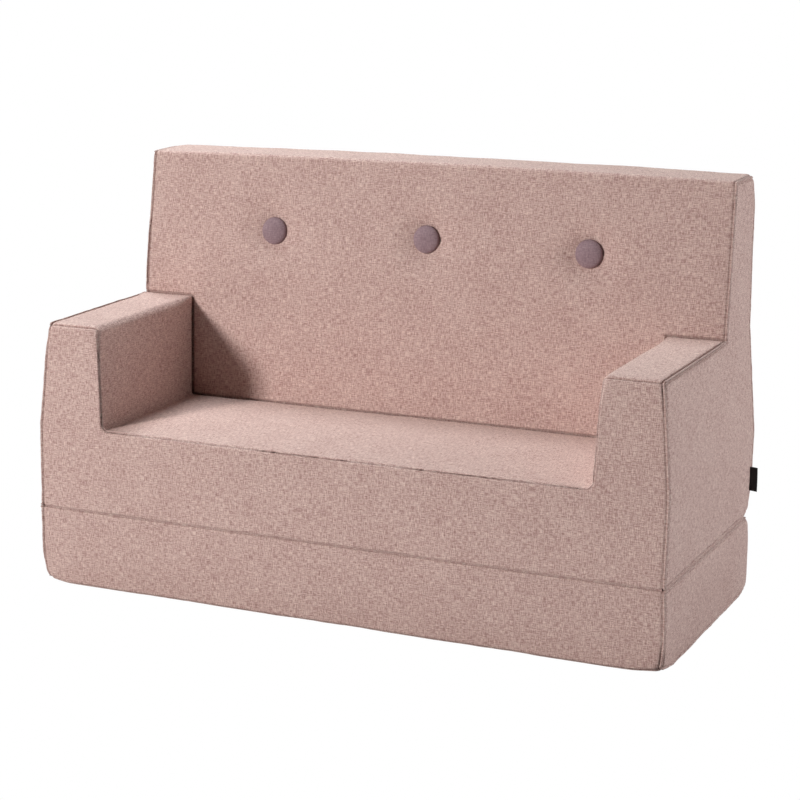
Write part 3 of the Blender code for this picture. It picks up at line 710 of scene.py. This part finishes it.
class Nodes:
    """Short calls for building a material's nodes."""

    def __init__(self, name):
        self.material = bpy.data.materials.new(name)
        self.material.use_nodes = True
        self.tree = self.material.node_tree
        self.shader = self.tree.nodes["Principled BSDF"]

    def add(self, kind, inputs=(), **settings):
        node = self.tree.nodes.new(kind)
        for key, value in settings.items():
            setattr(node, key, value)
        for key, value in dict(inputs).items():
            self.set(node, key, value)
        return node

    def set(self, node, key, value):
        if isinstance(value, bpy.types.NodeSocket):
            self.tree.links.new(value, node.inputs[key])
        else:
            node.inputs[key].default_value = value

    def relief(self, roughness, height, strength, depth):
        """Set the roughness and a bump of the given height."""
        bump = self.add("ShaderNodeBump", {"Strength": strength, "Distance": depth, "Height": height})
        self.set(self.shader, "Normal", bump.outputs[0])
        self.set(self.shader, "Roughness", roughness)

    def layer(self, tone, value, middle, own_share):
        """Add a share of a value's swing about its middle to the tone."""
        swing = self.math("SUBTRACT", value, middle)
        return self.math("ADD", tone, self.math("MULTIPLY", swing, own_share))

    def math(self, operation, *values):
        node = self.add("ShaderNodeMath", operation=operation)
        for i, value in enumerate(values):
            self.set(node, i, value)
        return node.outputs[0]

    def mix(self, factor, first, second):
        node = self.add("ShaderNodeMix", data_type="RGBA")
        self.set(node, 0, factor)
        self.set(node, 6, first)
        self.set(node, 7, second)
        return node.outputs[2]


def color(red, green, blue):
    """A screen colour from 0 to 255, as the linear colour that shaders take."""
    parts = [part / 255 for part in (red, green, blue)]
    linear = [part / 12.92 if part <= 0.04045 else ((part + 0.055) / 1.055) ** 2.4 for part in parts]
    return (*linear, 1)


def weave_material(name, tones):
    """A heathered plain weave laid square on each face, with uneven threads, a soft sheen and painted shade
    along seams, creases and the hinge strip.
    """
    base, light, dark = [color(*tone) for tone in tones]
    nodes = Nodes(name)
    place = nodes.add("ShaderNodeTexCoord").outputs["Object"]
    normal = nodes.add("ShaderNodeNewGeometry").outputs["Normal"]
    position = nodes.add("ShaderNodeSeparateXYZ", {0: place})
    facing = nodes.add("ShaderNodeSeparateXYZ", {0: normal})
    ax, ay, az = [nodes.math("ABSOLUTE", facing.outputs[i]) for i in range(3)]
    x, y, z = position.outputs
    is_side = nodes.math("GREATER_THAN", ax, nodes.math("MAXIMUM", ay, az))
    is_top = nodes.math("GREATER_THAN", az, nodes.math("MAXIMUM", ax, ay))
    across = nodes.math("ADD", x, nodes.math("MULTIPLY", is_side, nodes.math("SUBTRACT", y, x)))
    along = nodes.math("ADD", z, nodes.math("MULTIPLY", is_top, nodes.math("SUBTRACT", y, z)))

    def threads(across_cells, along_cells, detail=1):
        u = nodes.math("MULTIPLY", across, across_cells)
        v = nodes.math("MULTIPLY", along, along_cells)
        vector = nodes.add("ShaderNodeCombineXYZ", {0: u, 1: v, 2: is_side})
        texture = nodes.add(
            "ShaderNodeTexNoise", {"Vector": vector.outputs[0], "Scale": 1.0, "Detail": detail}
        )
        return texture.outputs["Fac"]

    cloud = threads(CLOUD_CELLS, CLOUD_CELLS, detail=2)
    fleck = threads(FLECK_CELLS, FLECK_CELLS)
    streaks = nodes.math("ADD", threads(*STREAK_CELLS), threads(*reversed(STREAK_CELLS)))
    slubs = nodes.math("ADD", threads(*SLUB_CELLS), threads(*reversed(SLUB_CELLS)))
    mixed = nodes.math(
        "ADD",
        nodes.math("MULTIPLY", slubs, SLUB_SHARE / 2),
        nodes.math("MULTIPLY", fleck, FLECK_SHARE),
    )
    mixed = nodes.layer(mixed, cloud, 0.5, CLOUD_SHARE)
    mixed = nodes.layer(mixed, streaks, 1.0, STREAK_SHARE)
    ramp = nodes.add("ShaderNodeValToRGB", {0: mixed})
    stops = ramp.color_ramp.elements
    stops[0].position = TONE_LOW
    stops[0].color = dark
    stops[1].position = TONE_HIGH
    stops[1].color = light
    middle = stops.new(TONE_MIDDLE)
    middle.color = base
    # Painted shade: the colour is darkened where the "seam" attribute marks seam lines, creases and the hinge
    # strip
    seam = nodes.add("ShaderNodeAttribute", attribute_name="seam").outputs["Fac"]
    shade = nodes.math("SUBTRACT", 1.0, nodes.math("MULTIPLY", seam, PAINTED_SEAM_SHADE))
    shaded = nodes.add("ShaderNodeVectorMath", {0: ramp.outputs[0]}, operation="SCALE")
    nodes.set(shaded, "Scale", shade)
    nodes.set(nodes.shader, "Base Color", shaded.outputs[0])

    # The bump of single threads over and under each other, on top of their uneven thickness
    turn = 2 * math.pi / THREAD
    over = nodes.math(
        "MULTIPLY",
        nodes.math("SINE", nodes.math("MULTIPLY", across, turn)),
        nodes.math("SINE", nodes.math("MULTIPLY", along, turn)),
    )
    height = nodes.math("ADD", nodes.math("MULTIPLY", over, THREAD_BUMP_SHARE), mixed)
    nodes.relief(roughness=0.92, height=height, strength=0.5, depth=BUMP_DEPTH)
    nodes.set(nodes.shader, "Sheen Weight", 0.25)
    nodes.set(nodes.shader, "Sheen Roughness", 0.45)
    nodes.set(nodes.shader, "Sheen Tint", light)
    nodes.set(nodes.shader, "Specular IOR Level", 0.25)
    return nodes.material


def zip_material(name, tones):
    """A woven tape with a row of coil teeth along its middle."""
    tape, teeth = [color(*tone) for tone in tones]
    nodes = Nodes(name)
    place = nodes.add("ShaderNodeTexCoord").outputs["Object"]
    weave = nodes.add("ShaderNodeTexNoise", {"Vector": place, "Scale": ZIP_CELLS, "Detail": 2})
    ribs = nodes.add("ShaderNodeTexWave", {"Vector": place, "Scale": ZIP_RIBS}, bands_direction="X")
    grain = nodes.mix(weave.outputs["Fac"], tape, teeth)
    tone = nodes.mix(nodes.math("MULTIPLY", ribs.outputs["Fac"], ZIP_RIB_SHARE), grain, teeth)
    nodes.set(nodes.shader, "Base Color", tone)
    grain_height = nodes.math("MULTIPLY", weave.outputs["Fac"], ZIP_GRAIN_SHARE)
    height = nodes.math("ADD", ribs.outputs["Fac"], grain_height)
    nodes.relief(roughness=0.75, height=height, strength=0.6, depth=ZIP_BUMP_DEPTH)
    return nodes.material


def worn_material(name, tones, roughness, scale, metallic=0.0):
    """A plain hard or corded surface with uneven colour and fine scuffs."""
    base, worn = [color(*tone) for tone in tones]
    nodes = Nodes(name)
    place = nodes.add("ShaderNodeTexCoord").outputs["Object"]
    patches = nodes.add("ShaderNodeTexNoise", {"Vector": place, "Scale": scale, "Detail": 4})
    fine_scale = scale * SCUFFS_PER_PATCH
    scuffs = nodes.add("ShaderNodeTexNoise", {"Vector": place, "Scale": fine_scale, "Detail": 2})
    nodes.set(nodes.shader, "Base Color", nodes.mix(patches.outputs["Fac"], base, worn))
    nodes.relief(roughness, height=scuffs.outputs["Fac"], strength=0.4, depth=SCUFF_DEPTH)
    nodes.set(nodes.shader, "Metallic", metallic)
    return nodes.material


def add_piece(name, points, quads, body, replaced, material):
    """One visible mesh that rides on a body and takes the place of a plain solid."""
    mesh = bpy.data.meshes.new(name)
    mesh.from_pydata([tuple(point) for point in points], [], quads)
    mesh.materials.append(material)
    mesh.shade_smooth()
    piece = bpy.data.objects.new(name, mesh)
    bpy.context.scene.collection.objects.link(piece)
    if body:
        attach(piece, body)
    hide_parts(replaced)
    return piece


def tube_quads(rings, around):
    """Faces between rings of points. The rings follow each other, and each has the same count."""
    quads = []
    for ring in range(rings - 1):
        low, high = ring * around, (ring + 1) * around
        for i in range(around):
            ahead = (i + 1) % around
            quads.append((low + i, low + ahead, high + ahead, high + i))
    return quads


def strip_ends(count, last_start, first_flipped):
    """Faces that close both ends of a tube whose rings run along a strip and back."""
    quads = []
    for start, flip in ((0, first_flipped), (last_start, not first_flipped)):
        for i in range(count // 2 - 1):
            face = (start + i, start + i + 1, start + count - 2 - i, start + count - 1 - i)
            quads.append(face[::-1] if flip else face)
    return quads


def add_button(side, material):
    """A domed button covered in cloth, with small gathers under its rim."""
    x, z = BUTTON_CENTERS[side]
    foot = Vector(bend_seat_block(np.array([[x, BACK_Y, z]]))[0])
    facing = Vector((0, -(HEIGHT - SEAT_HEIGHT), BACK_LEAN)).normalized()
    sideways = Vector((1, 0, 0))
    upward = facing.cross(sideways) * -1
    profile = [(BUTTON_RADIUS * BUTTON_FOOT_SHARE, 0)]
    for step in range(1, BUTTON_RINGS + 1):
        angle = math.pi / 2 * (1 - step / BUTTON_RINGS)
        reach = BUTTON_RADIUS * max(math.sin(angle), BUTTON_TIP_SHARE) ** BUTTON_CURVE
        rise = BUTTON_RIM + (BUTTON_HEIGHT - BUTTON_RIM) * math.cos(angle) ** BUTTON_CURVE
        profile.append((reach, rise))
    profile.insert(1, (BUTTON_RADIUS, BUTTON_RIM))
    points = []
    for reach, rise in profile:
        for i in range(BUTTON_SIDES):
            angle = 2 * math.pi * i / BUTTON_SIDES
            below_top = max(1 - rise / BUTTON_HEIGHT, 0)
            gather = 1 + GATHER_SHARE * math.cos(GATHERS * angle) * below_top**2
            flat = (sideways * math.cos(angle) + upward * math.sin(angle)) * reach * gather
            points.append(foot + flat + facing * (rise + BUTTON_LIFT))
    quads = tube_quads(len(profile), BUTTON_SIDES)
    quads.append(tuple(range((len(profile) - 1) * BUTTON_SIDES, len(profile) * BUTTON_SIDES)))
    quads.append(tuple(reversed(range(BUTTON_SIDES))))
    name = f"{side}_button"
    add_piece(f"{name}_cover", points, quads, "seat_block", name, material)


def add_tag(material):
    """A blank woven tape, folded double round its outer end and a little curled."""
    solid = bpy.data.objects["side_tag"]
    corners = np.array([solid.matrix_world @ vertex.co for vertex in solid.data.vertices])
    low, high = corners.min(axis=0), corners.max(axis=0)
    middle = (low[1] + high[1]) / 2
    half = (high[1] - low[1]) / 2
    tape = half * TAPE_SHARE
    outline = []
    for offset in (half, half - tape):
        turn = [math.pi / 2 - math.pi * i / TAG_TURN for i in range(TAG_TURN + 1)]
        lead = [(low[0], offset)]
        round_end = [(high[0] - half + offset * math.cos(angle), offset * math.sin(angle)) for angle in turn]
        run = lead + round_end + [(low[0], -offset)]
        outline += run if offset == half else run[::-1]
    points = []
    for level in range(TAG_LEVELS + 1):
        part = level / TAG_LEVELS
        z = low[2] + (high[2] - low[2]) * part
        for x, y in outline:
            out = (x - low[0]) / (high[0] - low[0])
            curl = TAG_CURL * out * out * math.sin(math.pi * part)
            points.append((x, middle + y + curl, z - TAG_DROP * out * out))
    count = len(outline)
    quads = tube_quads(TAG_LEVELS + 1, count)
    quads += strip_ends(count, TAG_LEVELS * count, first_flipped=True)
    add_piece("side_tag_tape", points, quads, "seat_block", "side_tag", material)


def add_hinge(material):
    """The folded strip of cloth that is sewn between the two covers along the lower front edge."""
    center_y = FRONT_Y + HINGE_RECESS
    half = HINGE_WIDTH / 2
    points = []
    columns = math.ceil(2 * HINGE_HALF_LENGTH / WIDE_STEP)
    section = []
    for step in range(HINGE_STEPS + 1):
        z = half - HINGE_WIDTH * step / HINGE_STEPS
        section.append((center_y + HINGE_HOLLOW * (1 - (z / half) ** 2), HINGE_Z + z))
    section += [(y + CLOTH / 2, z) for y, z in reversed(section)]
    for column in range(columns + 1):
        x = -HINGE_HALF_LENGTH + 2 * HINGE_HALF_LENGTH * column / columns
        points += [(x, y, z) for y, z in section]
    count = len(section)
    quads = tube_quads(columns + 1, count)
    quads += strip_ends(count, columns * count, first_flipped=False)
    strip = add_piece("hinge_strip", points, quads, None, "hinge_welt", material)
    # The whole strip is darkened with painted shade, as it sits in the recess between the blocks
    painted_hinge_shade = strip.data.attributes.new("seam", "FLOAT", "POINT")
    painted_hinge_shade.data.foreach_set("value", np.full(len(points), HINGE_SHADE_SHARE))
    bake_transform(strip)


def refinish(names, material):
    """Give solids that stay visible as they are a detailed material."""
    for name in names:
        bpy.data.objects[name].material_slots[0].material = material


def place_camera():
    """The photograph's camera, solved from its edges and corners."""
    position = Vector((1.2670, -2.7036, 0.9864))
    target = Vector((0.1553, -0.3545, 0.3941))
    focal_px, center_px, image_px = 2143.74, (384.25, 380.15), 800
    roll = -0.0043
    sensor = 36.0
    forward = (target - position).normalized()
    right = forward.cross(Vector((0, 0, 1))).normalized()
    up = right.cross(forward)
    right, up = right * math.cos(roll) + up * math.sin(roll), up * math.cos(roll) - right * math.sin(roll)
    data = bpy.data.cameras.new("camera")
    data.sensor_width = sensor
    data.lens = focal_px / image_px * sensor
    data.shift_x = 0.5 - center_px[0] / image_px
    data.shift_y = center_px[1] / image_px - 0.5
    camera = bpy.data.objects.new("camera", data)
    axes = Matrix((right, up, -forward)).transposed().to_4x4()
    camera.matrix_world = Matrix.Translation(position) @ axes
    bpy.context.scene.collection.objects.link(camera)
    bpy.context.scene.camera = camera


def add_light(name, position, target, size, power, tint):
    """A round soft light that points at its target."""
    data = bpy.data.lights.new(name, "AREA")
    data.shape = "DISK"
    data.size = size
    data.energy = power
    data.color = tint
    light = bpy.data.objects.new(name, data)
    light.location = position
    light.rotation_euler = (Vector(target) - Vector(position)).to_track_quat("-Z", "Y").to_euler()
    bpy.context.scene.collection.objects.link(light)


def light_the_scene():
    """A key from the left front, lights above and on the right, and a faint surround.

    The camera sees the floor and the background as plain white.
    """
    add_light("key", *KEY_LIGHT)
    add_light("top", *TOP_LIGHT)
    add_light("side", *SIDE_LIGHT)
    world = bpy.data.worlds.new("studio")
    world.use_nodes = True
    background = world.node_tree.nodes["Background"]
    background.inputs["Color"].default_value = WHITE
    background.inputs["Strength"].default_value = SKY_STRENGTH
    tree = world.node_tree
    seen = tree.nodes.new("ShaderNodeLightPath").outputs["Is Camera Ray"]
    white = tree.nodes.new("ShaderNodeBackground")
    white.inputs["Color"].default_value = WHITE
    mix = tree.nodes.new("ShaderNodeMixShader")
    tree.links.new(seen, mix.inputs[0])
    tree.links.new(background.outputs[0], mix.inputs[1])
    tree.links.new(white.outputs[0], mix.inputs[2])
    tree.links.new(mix.outputs[0], tree.nodes["World Output"].inputs["Surface"])
    bpy.context.scene.world = world
    bpy.context.scene.view_settings.view_transform = "Standard"

    nodes = Nodes("white_floor")
    nodes.set(nodes.shader, "Base Color", FLOOR_GRAY)
    nodes.set(nodes.shader, "Roughness", 0.9)
    seen = nodes.add("ShaderNodeLightPath").outputs["Is Camera Ray"]
    glow = nodes.add("ShaderNodeEmission", {"Color": WHITE, "Strength": 1.0})
    mix = nodes.add("ShaderNodeMixShader", {0: seen, 1: nodes.shader.outputs[0], 2: glow.outputs[0]})
    nodes.tree.links.new(mix.outputs[0], nodes.tree.nodes["Material Output"].inputs["Surface"])
    mesh = bpy.data.meshes.new("floor")
    ways = ((-1, -1), (1, -1), (1, 1), (-1, 1))
    corners = [(x * FLOOR_REACH, y * FLOOR_REACH, 0) for x, y in ways]
    mesh.from_pydata(corners, [], [(0, 1, 2, 3)])
    mesh.materials.append(nodes.material)
    floor = bpy.data.objects.new("floor", mesh)
    bpy.context.scene.collection.objects.link(floor)


def add_covers(material):
    """The sewn cloth covers of both blocks."""
    seat_replaced = {
        "seat_and_arm_panel": ("seat_foam", "left_arm_foam", "right_arm_foam"),
        "back_panel": ("back_foam",),
    }
    slab_replaced = {"slab_top_panel": ("slab_foam",)}
    covers = cushion(
        "seat_block",
        seat_block_grids(),
        edge_radius_of_seat_block,
        bend_seat_block,
        seed=1,
        replaced=seat_replaced,
        crease_of=crease_of_seat_block,
    )
    covers += cushion(
        "slab", slab_grids(), edge_radius_of_slab, bend_slab, seed=11, replaced=slab_replaced
    )
    for cover in covers:
        cover.data.materials.append(material)


def finish_small_parts():
    """Detailed materials for the zips, sliders, twines and anchors."""
    zip_tape = zip_material("zip_tape_coil", ZIP_TONES)
    slider = worn_material("slider_metal", METAL_TONES, roughness=0.35, scale=300, metallic=0.9)
    plastic = worn_material("worn_plastic", PLASTIC_TONES, roughness=0.45, scale=160)
    twine = worn_material("twine_strands", TWINE_TONES, roughness=0.85, scale=700)
    refinish(("seat_zip", "slab_zip"), zip_tape)
    refinish(("seat_zip_slider", "slab_zip_slider"), slider)
    refinish([f"{side}_anchor" for side in BUTTON_CENTERS], plastic)
    refinish([f"{side}_twine" for side in BUTTON_CENTERS], twine)


def main():
    place_camera()
    light_the_scene()
    pink = weave_material("pink_weave_cloth", PINK_TONES)
    mauve = weave_material("button_weave_cloth", MAUVE_TONES)
    black = worn_material("black_tape_weave", BLACK_TONES, roughness=0.8, scale=900)
    add_covers(pink)
    for side in BUTTON_CENTERS:
        add_button(side, mauve)
    add_tag(black)
    add_hinge(pink)
    finish_small_parts()


main()
